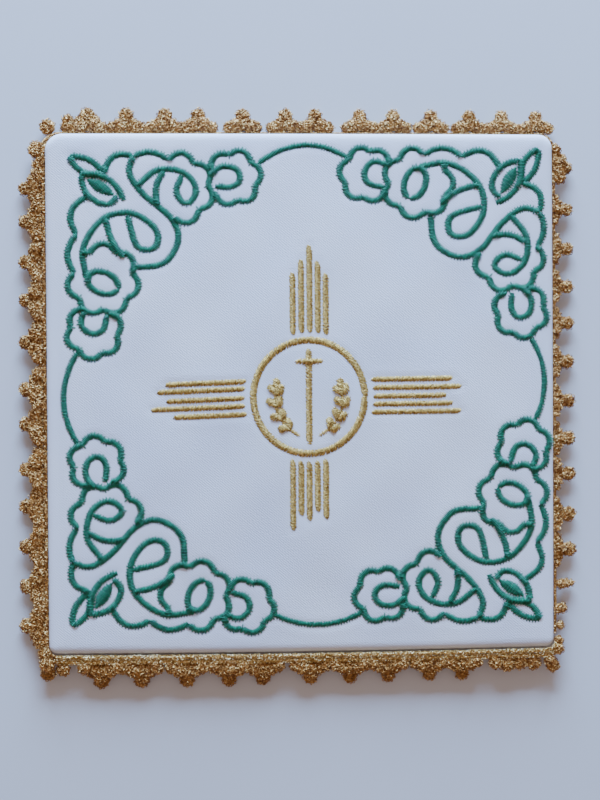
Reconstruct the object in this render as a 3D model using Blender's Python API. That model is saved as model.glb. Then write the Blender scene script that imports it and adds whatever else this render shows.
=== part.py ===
"""A chalice pall: a stiff square covered in white twill, with a gold picot edging sewn round it,
green satin-stitch sprays in its corners and a gold emblem in the middle.

Sizes are in millimetres and are turned to metres where a mesh is made. The origin is the middle of
the underside, +Z is up, and +Y is towards the top of the emblem."""

import math

import bpy
import numpy as np
from mathutils import Vector
from mathutils.geometry import delaunay_2d_cdt

MM = 0.001

# The covered square
PANEL_WIDTH = 160.0
PANEL_HEIGHT = 163.0
PANEL_THICKNESS = 5.0
SPANS = (PANEL_HEIGHT, PANEL_WIDTH, PANEL_HEIGHT, PANEL_WIDTH)  # right, top, left, bottom
CORNERS = (  # corner, side in x, side in y, radius, in the order in which the edging runs
    ("lower_right", 1, -1, 2.6),
    ("upper_right", 1, 1, 4.5),
    ("upper_left", -1, 1, 5.5),
    ("lower_left", -1, -1, 2.6),
)
ROLLED_EDGE = (  # height, inset: the cloth rolls round the stiff square's rim
    (0.0, 1.6),
    (0.5, 0.7),
    (1.5, 0.1),
    (3.2, 0.0),
    (4.2, 0.35),
    (4.75, 1.1),
    (PANEL_THICKNESS, 2.4),
)
SIDE_BOW = {"right": 0.1, "top": 0.1, "left": 0.0, "bottom": 0.5}  # out at mid-side

# The edging: a woven heading against the rim, and a picot of three knobs at each repeat
EDGING_GAP = 0.35
HEADING_TOP = 3.9
EDGING_SIDES = (  # side, heading's width, fall and depth, first and last picot's size, their places
    ("right", 2.2, 1.2, 2.2, 0.8, 0.95,
     (19.9, 30.9, 42.2, 55.1, 66.4, 78.4, 90.9, 103.2, 114.8, 126.8, 139.3, 152.5)),
    ("top", 1.3, 0.4, 3.2, 0.8, 0.95,
     (4.9, 15.9, 26.3, 38.5, 50.5, 61.1, 75.3, 84.7, 98.2, 112.1, 122.7, 134.7, 146.8)),
    ("left", 2.6, 1.0, 1.9, 0.92, 1.05,
     (17.1, 27.4, 40.0, 52.0, 65.2, 79.9, 90.9, 105.1, 116.7, 129.3, 141.8, 154.2)),
    ("bottom", 3.4, 1.0, 1.6, 1.1, 0.95,
     (16.2, 28.8, 43.2, 56.4, 67.1, 81.9, 94.8, 107.0, 120.2, 130.6, 145.1, 156.0)),
)
SMALL_PICOTS = (  # side number, place along the side, size
    (0, 6.7, 0.45),
    (0, 12.4, 0.5),
    (1, 151.2, 0.7),
    (2, 5.4, 0.7),
)
CORNER_PICOTS = (  # corner, size
    ("upper_left", 0.62),
    ("lower_left", 0.85),
)
EDGING_START = 4.6
EDGING_END = 1.4
PICOT_LENGTH = 7.3
PICOT_ROOT = 0.7
SIDE_KNOB = (3.5, 1.6, 1.95)  # along the heading, out from it, radius
TIP_KNOB = (0.0, 5.2, 2.05)
PICOT_CORE = (0.0, 2.3)
TIP_HEIGHT = 1.0
RIM_HALF = 0.45
KNOB_HALF = 0.45
KNOB_REACH = 1.6
HEADING_STEP = 9.0
EDGING_FLOOR = 0.05
HEADING_CROWN = 0.3
PICOT_UNDER = 1.1  # from the heading's outer underside up to the picots' middle
PICOT_WAIST = 0.9
MIDDLE_PASSES = 5
SMOOTH_ANGLE = 40.0

# The embroidery: raised satin stitch that lies on the cloth
STITCH_GAP = 0.3
STITCH_RISE = 0.6
STITCH_FULLNESS = 0.7  # below 1, the rise is steepest at the strip's sides
GREEN_WIDTH = 1.9
LINK_WIDTH = 1.7
LINK_GAP = 0.75
GOLD_RING_WIDTH = 1.75
UPRIGHT_RAY_WIDTH = 1.6
LEVEL_RAY_WIDTH = 1.4
SHAFT_WIDTH = 1.85
ARM_WIDTH = 1.45

# The emblem
EMBLEM = (2.1, -1.3)
RING_RADII = (17.5, 17.8)
RING_STEPS = 40
RAY_START = 20.3
END_LENGTH = 0.6  # over which a straight strip rises at each end
RAYS = (  # bundle, its direction in degrees, lean, then each ray's place across and its length
    ("top", 90, 0.0, ((-5.0, 19.2), (-2.3, 22.8), (0.3, 27.2), (2.9, 22.4), (5.4, 19.0))),
    ("right", 0, 0.5, ((-5.2, 25.7), (-2.6, 28.0), (0.1, 23.0), (2.6, 25.2), (5.1, 28.3))),
    ("bottom", -90, 0.0, ((-5.2, 18.7), (-2.6, 15.8), (0.0, 18.5), (2.6, 17.0), (5.2, 22.2))),
    ("left", 180, 2.0, ((-4.7, 22.9), (-2.1, 29.3), (0.4, 24.4), (3.3, 27.4), (5.6, 25.2))),
)
CROSS_SHAFT = (14.7, -16.3)
CROSS_ARM = (10.6, 4.4)
EAR_STEM = ((2.9, -12.4), (7.4, -9.0), (10.4, -3.4), (10.2, 2.4))
EAR_STEM_WIDTH = 0.9
GRAIN_LENGTH = 4.0
GRAIN_WIDTH = 1.9
GRAIN_SPREAD = 34.0
GRAIN_PAIRS = 4
GRAIN_OVERLAP = 0.5

# The corner sprays, in a frame whose origin is the spray's own corner
SPRAYS = (  # spray, its corner in x and y, quarter turns from the upper left, turn in degrees
    ("upper_left", -80.2, 82.1, 0, 0.0),
    ("lower_left", -80.8, -80.2, 1, -1.8),
    ("lower_right", 83.1, -80.6, 2, -2.1),
    ("upper_right", 83.1, 84.7, 3, 0.8),
)
SPRAY_SCALE = 0.98
LINKS = (  # link, its two ends in the sprays, how far it bows out
    ("top", (-15.0, 70.6), (18.0, 71.6), 6.6),
    ("right", (70.4, 20.0), (71.4, -13.0), 6.0),
    ("bottom", (22.0, -67.4), (-11.0, -68.8), 5.0),
    ("left", (-68.6, -18.0), (-68.8, 15.0), 5.8),
)
LINK_SAMPLES = 120
LINK_STEPS = 9
ROSE_RADIUS = 11.5
ROSE_PETALS = 7
ROSE_SWEEP = 308.6
HALF_ROSE_SWEEP = 205.7
BUD_RADIUS = 9.0
BUD_PETALS = 6
BUD_SWEEP = 300.0
PETAL_DIP = 0.2
PETAL_ROUNDNESS = 0.85
HEART_WIDTH = 3.3


def direction(degrees):
    return math.cos(math.radians(degrees)), math.sin(math.radians(degrees))


def shifted(point, along, distance):
    return point[0] + along[0] * distance, point[1] + along[1] * distance


def bow_sides(x, y):
    """Moves a point out or in with the side that it lies by, because no side is quite straight."""
    across = max(0.0, 1 - (2 * x / PANEL_WIDTH) ** 2)
    upright = max(0.0, 1 - (2 * y / PANEL_HEIGHT) ** 2)
    share_x = min(1.0, abs(2 * x / PANEL_WIDTH))
    share_y = min(1.0, abs(2 * y / PANEL_HEIGHT))
    x += SIDE_BOW["right"] * upright * share_x if x > 0 else -SIDE_BOW["left"] * upright * share_x
    y += SIDE_BOW["top"] * across * share_y if y > 0 else -SIDE_BOW["bottom"] * across * share_y
    return x, y


def rounded_outline(offset, corner_steps=5, side_steps=4):
    """The panel's outline, counter-clockwise from the lower right, moved out by offset."""
    arcs = []
    for turn, (_, side_x, side_y, radius) in enumerate(CORNERS):
        bend = max(radius + offset, 0.3)
        centre = (
            side_x * (PANEL_WIDTH / 2 + offset - bend),
            side_y * (PANEL_HEIGHT / 2 + offset - bend),
        )
        first = -90 + 90 * turn
        turns = [first + 90 * i / corner_steps for i in range(corner_steps + 1)]
        arcs.append([shifted(centre, direction(degrees), bend) for degrees in turns])
    points = []
    for turn, arc in enumerate(arcs):
        points += arc
        start, end = Vector(arc[-1]), Vector(arcs[(turn + 1) % 4][0])
        points += [tuple(start.lerp(end, i / side_steps)) for i in range(1, side_steps)]
    return points


def cloth_material(name, colour, roughness, metallic=0.0):
    material = bpy.data.materials.new(name)
    material.use_nodes = True
    shader = material.node_tree.nodes["Principled BSDF"]
    shader.inputs["Base Color"].default_value = (*colour, 1.0)
    shader.inputs["Roughness"].default_value = roughness
    shader.inputs["Metallic"].default_value = metallic
    return material


def add_object(name, points, faces, material):
    mesh = bpy.data.meshes.new(name)
    mesh.from_pydata([(x * MM, y * MM, z * MM) for x, y, z in points], [], faces)
    mesh.materials.append(material)
    mesh.validate()
    mesh.shade_smooth()
    mesh.set_sharp_from_angle(angle=math.radians(SMOOTH_ANGLE))
    made = bpy.data.objects.new(name, mesh)
    bpy.context.scene.collection.objects.link(made)
    return made


def merge_flat(polygons, extra=()):
    """The union of flat polygons: its points, its triangles, and the rim edges as walked round it."""
    points, faces = [], []
    for polygon in polygons:
        following = polygon[1:] + polygon[:1]
        area = sum(p[0] * q[1] - q[0] * p[1] for p, q in zip(polygon, following))
        ordered = polygon if area > 0 else polygon[::-1]
        faces.append(list(range(len(points), len(points) + len(ordered))))
        points += ordered
    points += list(extra)
    flat, _, triangles, _, _, owners = delaunay_2d_cdt([Vector(p) for p in points], [], faces, 0, 1e-4)
    kept = [tuple(t) for t, owner in zip(triangles, owners) if owner]
    edges = {(t[i], t[(i + 1) % 3]) for t in kept for i in range(3)}
    rim = {(a, b): None for a, b in sorted(edges) if (b, a) not in edges}
    return [(p.x, p.y) for p in flat], kept, rim


def distance_to_rim(points, rim):
    """How far inside the rim each point lies."""
    place = np.array(points)
    start = place[[a for a, _ in rim]]
    along = place[[b for _, b in rim]] - start
    offset = place[:, None, :] - start[None, :, :]
    share = np.clip((offset * along).sum(-1) / (along * along).sum(-1), 0, 1)
    nearest = offset - share[..., None] * along
    return np.sqrt((nearest * nearest).sum(-1)).min(1)


def rim_triangles(flat, rim):
    """The area inside the rim, covered with the points of the rim alone."""
    outer = sorted({i for edge in rim for i in edge})
    place = {index: number for number, index in enumerate(outer)}
    edges = [(place[a], place[b]) for a, b in rim]
    _, _, made, origins, _, _ = delaunay_2d_cdt([Vector(flat[i]) for i in outer], edges, [], 0, 1e-6)
    made = [[outer[origins[i][0]] for i in t] for t in made]
    owner = {(t[i], t[(i + 1) % 3]): number for number, t in enumerate(made) for i in range(3)}
    waiting, kept = [owner[edge] for edge in rim], set()
    while waiting:
        number = waiting.pop()
        if number in kept:
            continue
        kept.add(number)
        a, b, c = made[number]
        waiting += [owner[edge[::-1]] for edge in ((a, b), (b, c), (c, a)) if edge not in rim]
    return [made[number] for number in sorted(kept)]


def raised_solid(name, polygons, heights, material, extra=()):
    """A closed solid over merged polygons. heights gives a point's bottom and top from its place
    and its distance inside the rim. Where these are equal at the rim, the solid has a sharp rim
    and no wall, and its rim points are joined across it only over a raised middle point."""
    middles = list(extra)
    for _ in range(MIDDLE_PASSES):
        flat, triangles, rim = merge_flat(polygons, middles)
        outer = {i for edge in rim for i in edge}
        edges = {(t[i], t[(i + 1) % 3]) for t in triangles for i in range(3)}
        across = [(a, b) for a, b in edges if a < b and (b, a) in edges and a in outer and b in outer]
        sharp = heights(flat[next(iter(outer))], 0.0)
        if not across or sharp[1] > sharp[0]:
            break
        middles += [((flat[a][0] + flat[b][0]) / 2, (flat[a][1] + flat[b][1]) / 2) for a, b in across]
    above = sorted({i for t in triangles for i in t})
    below = sorted(outer)
    place = {index: number for number, index in enumerate(above)}
    inside = distance_to_rim([flat[i] for i in above], [(place[a], place[b]) for a, b in rim])
    levels = {index: heights(flat[index], depth) for index, depth in zip(above, inside)}
    points = [(*flat[i], levels[i][1]) for i in above]
    walled = sharp[1] > sharp[0]
    under = {i: len(points) + number for number, i in enumerate(below)} if walled else place
    if walled:
        points += [(*flat[i], levels[i][0]) for i in below]
    faces = [tuple(place[i] for i in t) for t in triangles]
    faces += [tuple(under[i] for i in reversed(t)) for t in rim_triangles(flat, rim)]
    if walled:
        faces += [(under[a], under[b], place[b], place[a]) for a, b in rim]
    return add_object(name, points, faces, material)


def smooth_through(points, steps):
    """A smooth line through a few points, with the same number of steps between each two."""
    ends = [
        tuple(2 * a - b for a, b in zip(points[0], points[1])),
        tuple(2 * a - b for a, b in zip(points[-1], points[-2])),
    ]
    run = [ends[0], *points, ends[1]]
    line = []
    for i in range(1, len(run) - 2):
        before, here, there, after = (Vector(p) for p in run[i - 1 : i + 3])
        for step in range(steps):
            t = step / steps
            bend = (2 * before - 5 * here + 4 * there - after) * t * t
            bend += (3 * here - before - 3 * there + after) * t**3
            line.append(tuple((2 * here + (there - before) * t + bend) / 2))
    return [*line, points[-1]]


def bowed_line(start, end, bow, steps=6):
    """A line from start to end that stands to its left by bow at its middle."""
    run = (end[0] - start[0], end[1] - start[1])
    length = math.hypot(*run)
    side = (-run[1] / length, run[0] / length)
    line = []
    for i in range(steps + 1):
        t = i / steps
        line.append(shifted(shifted(start, run, t), side, 4 * bow * t * (1 - t)))
    return line


def oval_line(centre, radii, turn, steps, start=0.0, sweep=360.0):
    cos_turn, sin_turn = direction(turn)
    line = []
    for i in range(steps + 1):
        cos_at, sin_at = direction(start + sweep * i / steps)
        x, y = radii[0] * cos_at, radii[1] * sin_at
        line.append((centre[0] + x * cos_turn - y * sin_turn, centre[1] + x * sin_turn + y * cos_turn))
    return line


def petalled_line(centre, radius, petals, start, sweep, steps_per_petal):
    """A round outline of bulging petals that meet in dips. A dip lies at its start."""
    steps = round(abs(sweep) / 360 * petals * steps_per_petal)
    line = []
    for i in range(steps + 1):
        at = sweep * i / steps
        bulge = abs(math.sin(math.radians(at * petals / 2))) ** PETAL_ROUNDNESS
        line.append(shifted(centre, direction(start + at), radius * (1 - PETAL_DIP + PETAL_DIP * bulge)))
    return line


def stitched_strip(line, width):
    """The polygons of a strip along a line: two quads a step, which meet on the line itself."""
    closed = math.dist(line[0], line[-1]) < 1e-6
    count = len(line)
    left, right = [], []
    for i, here in enumerate(line):
        before = line[i - 1] if i > 0 else (line[-2] if closed else here)
        after = line[i + 1] if i < count - 1 else (line[1] if closed else here)
        run = (after[0] - before[0], after[1] - before[1])
        length = math.hypot(*run)
        side = (-run[1] / length, run[0] / length)
        left.append(shifted(here, side, width / 2))
        right.append(shifted(here, side, -width / 2))
    polygons = []
    for i in range(count - 1):
        polygons.append([line[i], line[i + 1], left[i + 1], left[i]])
        polygons.append([right[i], right[i + 1], line[i + 1], line[i]])
    return polygons


def stitch_heights(width):
    """The rounded rise of a satin-stitched strip of this width."""
    floor = PANEL_THICKNESS + STITCH_GAP

    def heights(_, depth):
        return floor, floor + STITCH_RISE * min(1.0, depth / (width / 2)) ** STITCH_FULLNESS

    return heights


def make_cover(material):
    """White twill drawn over the stiff square and turned in underneath, so its edge is a roll."""
    rings = [[bow_sides(x, y) for x, y in rounded_outline(-inset)] for _, inset in ROLLED_EDGE]
    count = len(rings[0])
    points = [(x, y, height) for (height, _), ring in zip(ROLLED_EDGE, rings) for x, y in ring]
    faces = [tuple(reversed(range(count)))]
    for level in range(len(rings) - 1):
        for i in range(count):
            near, far = level * count + i, level * count + (i + 1) % count
            faces.append((near, far, far + count, near + count))
    faces.append(tuple(range((len(rings) - 1) * count, len(rings) * count)))
    return add_object("cover", points, faces, material)


def side_frame(turn, at):
    """A point on side number turn, at this far from the corner where it starts, and its outward
    direction."""
    _, side_x, side_y, _ = CORNERS[turn]
    corner = (side_x * PANEL_WIDTH / 2, side_y * PANEL_HEIGHT / 2)
    return shifted(corner, direction(90 + 90 * turn), at), direction(90 * turn)


def corner_frame(turn, degrees):
    """A point on the arc of corner number turn, and its outward direction."""
    _, side_x, side_y, radius = CORNERS[turn]
    centre = (side_x * (PANEL_WIDTH / 2 - radius), side_y * (PANEL_HEIGHT / 2 - radius))
    out = direction(degrees)
    return shifted(centre, out, radius), out


def heading_frames():
    """The points of the rim that the heading passes, each with its outward direction and the
    heading's width there."""
    frames = []
    widths = [side[1] for side in EDGING_SIDES]
    for turn, span in enumerate(SPANS):
        following = CORNERS[(turn + 1) % 4][3]
        first = EDGING_START if turn == 0 else CORNERS[turn][3]
        last = span - following
        steps = round((last - first) / HEADING_STEP)
        for i in range(steps + 1):
            frames.append((*side_frame(turn, first + (last - first) * i / steps), widths[turn]))
        arc_steps = 4 if turn < 3 else 3
        sweep = 90.0 if turn < 3 else 90.0 - math.degrees(EDGING_END / following)
        for i in range(1, arc_steps + (turn == 3)):
            share = i / arc_steps
            degrees = 90 * turn + sweep * share
            width = widths[turn] + (widths[(turn + 1) % 4] - widths[turn]) * share * (turn < 3)
            frames.append((*corner_frame((turn + 1) % 4, degrees), width))
    return frames


def picot_outline(point, out, heading, size):
    """One picot: a knob on each side and a larger one at the tip, with its root in the heading."""
    along = (-out[1], out[0])

    def place(s, u):
        return shifted(shifted(point, out, heading + u * size), along, s * size)

    def knob(spec, start, sweep, steps):
        middle_s, middle_u, radius = spec
        run = [direction(start + sweep * i / steps) for i in range(steps + 1)]
        return [place(middle_s + radius * c, middle_u + radius * s) for c, s in run]

    mirrored = (-SIDE_KNOB[0], SIDE_KNOB[1], SIDE_KNOB[2])
    outline = [place(SIDE_KNOB[0] + PICOT_WAIST, -PICOT_ROOT)]
    outline += knob(SIDE_KNOB, -50, 170, 3)
    outline += knob(TIP_KNOB, -30, 240, 4)
    outline += knob(mirrored, 60, 170, 3)
    outline.append(place(-SIDE_KNOB[0] - PICOT_WAIST, -PICOT_ROOT))
    middles = [place(*PICOT_CORE), place(*TIP_KNOB[:2]), place(*SIDE_KNOB[:2]), place(*mirrored[:2])]
    return outline, middles


def picot_frames():
    """Where each picot stands, with its outward direction, the heading's width there and its size."""
    frames = []
    for turn, (_, heading, _, _, first_size, last_size, places) in enumerate(EDGING_SIDES):
        for at in places:
            size = first_size + (last_size - first_size) * at / SPANS[turn]
            frames.append((*side_frame(turn, at), heading, size))
    for turn, at, size in SMALL_PICOTS:
        frames.append((*side_frame(turn, at), EDGING_SIDES[turn][1], size))
    names = [corner[0] for corner in CORNERS]
    for name, size in CORNER_PICOTS:
        turn = names.index(name)
        heading = (EDGING_SIDES[turn - 1][1] + EDGING_SIDES[turn][1]) / 2
        frames.append((*corner_frame(turn, -45 + 90 * turn), heading, size))
    return frames


def outside_rim(x, y):
    """How far a point lies outside the panel's outline, and how much each side has to say there."""
    over = (abs(x) - PANEL_WIDTH / 2, abs(y) - PANEL_HEIGHT / 2)
    corner = next(c for c in CORNERS if c[1] * x >= 0 and c[2] * y >= 0)
    radius = corner[3]
    bend = (max(over[0] + radius, 0.0), max(over[1] + radius, 0.0))
    reach = math.hypot(*bend) + min(max(over[0] + radius, over[1] + radius), 0.0) - radius
    total = bend[0] + bend[1]
    share = bend[0] / total if total > 0 else float(over[0] > over[1])
    return reach, "right" if x > 0 else "left", "top" if y > 0 else "bottom", share


def edging_heights(point, depth):
    """The bottom and top of the edging. The heading falls away from the rim, and the picots go on
    down to the level on which the panel rests."""
    reach, side_x, side_y, share = outside_rim(*point)
    table = {side[0]: side[1:4] for side in EDGING_SIDES}
    width, fall, deep = (share * a + (1 - share) * b for a, b in zip(table[side_x], table[side_y]))
    full = min(1.0, depth / KNOB_REACH)
    outer_top = HEADING_TOP - fall
    outer_bottom = outer_top - deep
    if reach <= width + 0.02:
        top = HEADING_TOP - fall * max(reach, 0.0) / width
        return max(top - deep, EDGING_FLOOR), top + HEADING_CROWN * min(1.0, depth)
    root = min((outer_top + outer_bottom) / 2, outer_bottom + PICOT_UNDER)
    slope = min(1.0, (reach - width) / (PICOT_LENGTH - TIP_KNOB[2]))
    middle = root + (TIP_HEIGHT - root) * slope
    half = RIM_HALF + KNOB_HALF * full
    return max(middle - half, EDGING_FLOOR), middle + half


def make_edging(material):
    """One length of gold picot edging, sewn round the rim from the lower right corner, where its
    two ends nearly meet."""
    frames = heading_frames()
    polygons = []
    for near, far in zip(frames, frames[1:]):
        rows = []
        for point, out, width in (near, far):
            rows.append([shifted(point, out, u) for u in (EDGING_GAP, width)])
        polygons.append([rows[0][0], rows[0][1], rows[1][1], rows[1][0]])
    middles = []
    for point, out, heading, size in picot_frames():
        outline, knobs = picot_outline(point, out, heading, size)
        polygons.append(outline)
        middles += knobs
    made = raised_solid("edging", polygons, edging_heights, material, middles)
    for vertex in made.data.vertices:
        x, y = bow_sides(vertex.co.x / MM, vertex.co.y / MM)
        vertex.co.x, vertex.co.y = x * MM, y * MM
    return made


def spray_lines():
    """The lines of one corner spray, in its own frame: its origin is the spray's outer corner, the
    first number runs along one side of the panel and the second along the other. A pair of leaves
    points to the corner, and a ribbon and a scroll run between the two roses, each with its bud."""
    lines = []
    for start, end, bow in (  # the small leaf, the back of the large one, then shoulders to the roses
        ((8.1, 8.2), (19.2, 13.8), -1.9),
        ((8.1, 8.2), (19.2, 13.8), 2.5),
        ((11.4, 14.0), (25.4, 22.2), -3.4),
        ((19.2, 13.6), (28.4, 8.2), -3.2),
        ((28.4, 8.2), (39.4, 9.2), -1.9),
        ((13.8, 21.0), (10.4, 33.0), 3.7),
        ((10.4, 33.0), (9.6, 45.2), 2.6),
    ):
        lines.append(bowed_line(start, end, bow, 4))
    leaf_front = ((11.6, 14.2), (13.4, 19.8), (17.8, 23.2), (22.0, 22.9), (22.8, 19.8))
    lines.append(smooth_through(leaf_front, 2))
    ribbon = (
        (28.4, 8.2), (27.2, 13.6), (31.8, 20.4), (39.2, 27.0), (42.4, 34.8), (38.0, 42.2),
        (28.8, 43.6),
    )
    lines.append(smooth_through(ribbon, 3))
    scroll = (
        (13.4, 47.0), (12.4, 37.2), (18.6, 28.2), (27.4, 26.2), (35.2, 31.0), (35.4, 37.0),
        (29.6, 37.0), (26.4, 27.0),
    )
    lines.append(smooth_through(scroll, 3))
    lines.append(petalled_line((42.6, 18.4), ROSE_RADIUS, ROSE_PETALS, 251, HALF_ROSE_SWEEP, 4))
    lines.append(petalled_line((18.6, 47.4), ROSE_RADIUS, ROSE_PETALS, 193, -ROSE_SWEEP, 4))
    rose_heart = (
        (29.6, 17.4), (36.4, 12.4), (44.6, 13.4), (48.4, 18.8), (45.4, 23.4), (42.0, 19.6),
        (43.8, 14.2),
    )
    lines.append(smooth_through(rose_heart, 2))
    lines.append(oval_line((18.6, 48.4), (5.2, 3.4), 22, 9))
    lines.append(bowed_line((38.2, 13.0), (36.2, 23.6), 1.6, 3))
    lines.append(bowed_line((19.6, 27.8), (25.4, 40.4), 1.2, 3))
    for centre, start, turn in (((60.2, 14.9), 200, 1), ((15.6, 63.8), 250, -1)):
        lines.append(petalled_line(centre, BUD_RADIUS, BUD_PETALS, start, turn * BUD_SWEEP, 4))
    curl = ((52.6, 14.2), (56.4, 11.4), (61.2, 12.2), (62.4, 15.8), (59.4, 18.0), (54.4, 17.6))
    lines.append(smooth_through(curl, 2))
    curl = ((12.6, 57.4), (11.4, 61.4), (14.4, 64.6), (18.4, 63.6), (19.8, 58.6))
    lines.append(smooth_through(curl, 2))
    return lines


def leaf_heart():
    """The filled middle of the larger leaf."""
    start, end = (13.8, 15.6), (23.0, 20.2)
    half = HEART_WIDTH / 2
    return bowed_line(start, end, half, 4) + bowed_line(end, start, half, 4)[1:-1]


def place_spray(spray, point):
    """Moves a point of the spray's own frame to the panel's corner that the spray fills."""
    _, corner_x, corner_y, quarters, turn = spray
    cos_turn, sin_turn = direction(-turn)
    a = (point[0] * cos_turn - point[1] * sin_turn) * SPRAY_SCALE
    b = (point[0] * sin_turn + point[1] * cos_turn) * SPRAY_SCALE
    x, y = ((a, -b), (b, a), (-a, b), (-b, -a))[quarters]
    return corner_x + x, corner_y + y


def make_sprays(material):
    """Green sprays: outlined leaves, roses, buds and a scroll, one set in each corner."""
    for spray in SPRAYS:
        polygons = []
        for line in spray_lines():
            polygons += stitched_strip([place_spray(spray, p) for p in line], GREEN_WIDTH)
        polygons.append([place_spray(spray, p) for p in leaf_heart()])
        raised_solid(f"spray_{spray[0]}", polygons, stitch_heights(GREEN_WIDTH), material)


def clear_of(line, others, clearance):
    """The stretch of a line that lies clear of other lines."""
    ends = [(a, b) for other in others for a, b in zip(other, other[1:])]
    start = np.array([a for a, _ in ends])
    along = np.array([b for _, b in ends]) - start
    offset = np.array(line)[:, None, :] - start[None, :, :]
    share = np.clip((offset * along).sum(-1) / (along * along).sum(-1), 0, 1)
    nearest = offset - share[..., None] * along
    away = np.sqrt((nearest * nearest).sum(-1)).min(1)
    free = [i for i, distance in enumerate(away) if distance > clearance]
    middle = min(free, key=lambda i: abs(2 * i - len(line)))
    first = last = middle
    while first - 1 in free:
        first -= 1
    while last + 1 in free:
        last += 1
    return line[first : last + 1]


def make_links(material):
    """Green arcs that link the sprays along the middle of each side, each a little short of them."""
    stitched = [[place_spray(spray, p) for p in line] for spray in SPRAYS for line in spray_lines()]
    clearance = GREEN_WIDTH / 2 + LINK_GAP
    for name, start, end, bow in LINKS:
        line = clear_of(bowed_line(start, end, bow, LINK_SAMPLES), stitched, clearance)
        count = len(line) - 1
        line = [line[round(count * i / LINK_STEPS)] for i in range(LINK_STEPS + 1)]
        raised_solid(f"link_{name}", stitched_strip(line, LINK_WIDTH), stitch_heights(LINK_WIDTH), material)


def make_rays(material):
    """Twenty straight gold rays in four bundles, each bundle starting on a circle round the ring."""
    for bundle, heading, lean, rays in RAYS:
        out = direction(heading + lean)
        across = direction(heading + lean - 90)
        width = UPRIGHT_RAY_WIDTH if bundle in ("top", "bottom") else LEVEL_RAY_WIDTH
        for number, (offset, length) in enumerate(rays, 1):
            start = math.sqrt(RAY_START**2 - offset**2)
            foot = shifted(shifted(EMBLEM, across, offset), out, start)
            line = [shifted(foot, out, at) for at in (0.0, END_LENGTH, length - END_LENGTH, length)]
            strip = stitched_strip(line, width)
            raised_solid(f"ray_{bundle}_{number}", strip, stitch_heights(width), material)


def make_ring(material):
    line = oval_line(EMBLEM, RING_RADII, 0, RING_STEPS)
    strip = stitched_strip(line, GOLD_RING_WIDTH)
    raised_solid("emblem_ring", strip, stitch_heights(GOLD_RING_WIDTH), material)


def make_cross(material):
    """A plain Latin cross that stands in the ring."""
    top, bottom = CROSS_SHAFT
    height, reach = CROSS_ARM
    shaft = [shifted(EMBLEM, (0, 1), y) for y in (top, top - END_LENGTH, bottom + END_LENGTH, bottom)]
    places = (-reach, END_LENGTH - reach, reach - END_LENGTH, reach)
    arm = [(EMBLEM[0] + x, EMBLEM[1] + height) for x in places]
    polygons = stitched_strip(shaft, SHAFT_WIDTH) + stitched_strip(arm, ARM_WIDTH)
    raised_solid("emblem_cross", polygons, stitch_heights(SHAFT_WIDTH), material)


def grain(root, heading):
    """One grain of an ear, a pointed oval that grows from its root."""
    tip = shifted(root, direction(heading), GRAIN_LENGTH)
    return bowed_line(root, tip, GRAIN_WIDTH / 2, 4) + bowed_line(tip, root, GRAIN_WIDTH / 2, 4)[1:-1]


def ear_polygons(side):
    """An ear of wheat on one side of the cross, side 1 being the right."""
    stem = smooth_through(EAR_STEM, 3)
    polygons = stitched_strip(stem, EAR_STEM_WIDTH)
    bearing = stem[-2 * GRAIN_PAIRS :: 2]
    for here, there in zip(bearing, stem[-2 * GRAIN_PAIRS + 1 :: 2]):
        heading = math.degrees(math.atan2(there[1] - here[1], there[0] - here[0]))
        polygons.append(grain(here, heading + GRAIN_SPREAD))
        polygons.append(grain(here, heading - GRAIN_SPREAD))
    last, before = stem[-1], stem[-2]
    heading = math.degrees(math.atan2(last[1] - before[1], last[0] - before[0]))
    polygons.append(grain(shifted(last, direction(heading), -GRAIN_OVERLAP), heading))
    return [[(EMBLEM[0] + side * x, EMBLEM[1] + y) for x, y in polygon] for polygon in polygons]


def make_ears(material):
    for name, side in (("left", -1), ("right", 1)):
        raised_solid(f"emblem_ear_{name}", ear_polygons(side), stitch_heights(EAR_STEM_WIDTH), material)


def main():
    for old in list(bpy.data.objects):
        bpy.data.objects.remove(old)
    white = cloth_material("white_twill", (0.74, 0.79, 0.86), 0.8)
    gold = cloth_material("gold_thread", (0.47, 0.29, 0.09), 0.4, 0.7)
    yellow_gold = cloth_material("gold_embroidery", (0.56, 0.42, 0.13), 0.4, 0.6)
    green = cloth_material("green_embroidery", (0.01, 0.19, 0.13), 0.45)
    make_cover(white)
    make_edging(gold)
    make_sprays(green)
    make_links(green)
    make_rays(yellow_gold)
    make_ring(yellow_gold)
    make_cross(yellow_gold)
    make_ears(yellow_gold)


main()
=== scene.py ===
"""The looks of a chalice pall: a stiff square covered in white twill, with green and gold
satin-stitch embroidery and a crocheted gold picot edging. +Z is up out of the embroidered face."""

import math
import random

import bmesh
import bpy
import numpy as np
from mathutils import Euler, Matrix, Vector


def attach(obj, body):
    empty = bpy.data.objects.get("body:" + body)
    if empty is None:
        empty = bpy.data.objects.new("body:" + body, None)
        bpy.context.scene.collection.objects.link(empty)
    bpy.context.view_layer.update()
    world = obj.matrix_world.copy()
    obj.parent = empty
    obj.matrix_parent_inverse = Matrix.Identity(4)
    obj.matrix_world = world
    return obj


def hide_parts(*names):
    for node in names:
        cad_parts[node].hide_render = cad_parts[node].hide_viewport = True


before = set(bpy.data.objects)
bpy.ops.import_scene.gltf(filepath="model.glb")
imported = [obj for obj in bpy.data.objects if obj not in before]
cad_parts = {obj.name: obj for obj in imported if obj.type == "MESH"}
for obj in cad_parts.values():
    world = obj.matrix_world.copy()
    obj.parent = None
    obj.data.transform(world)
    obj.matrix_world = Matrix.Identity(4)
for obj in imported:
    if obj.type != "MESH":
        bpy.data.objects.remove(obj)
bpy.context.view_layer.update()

# The camera stands almost square over the pall, a forearm's length away and a touch to its left, as
# someone takes a picture of a small thing on a table. Its picture is 600 by 800 pixels.
MM = 0.001
FACE_HEIGHT = 5.0
CAMERA_DISTANCE = 450.0
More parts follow.
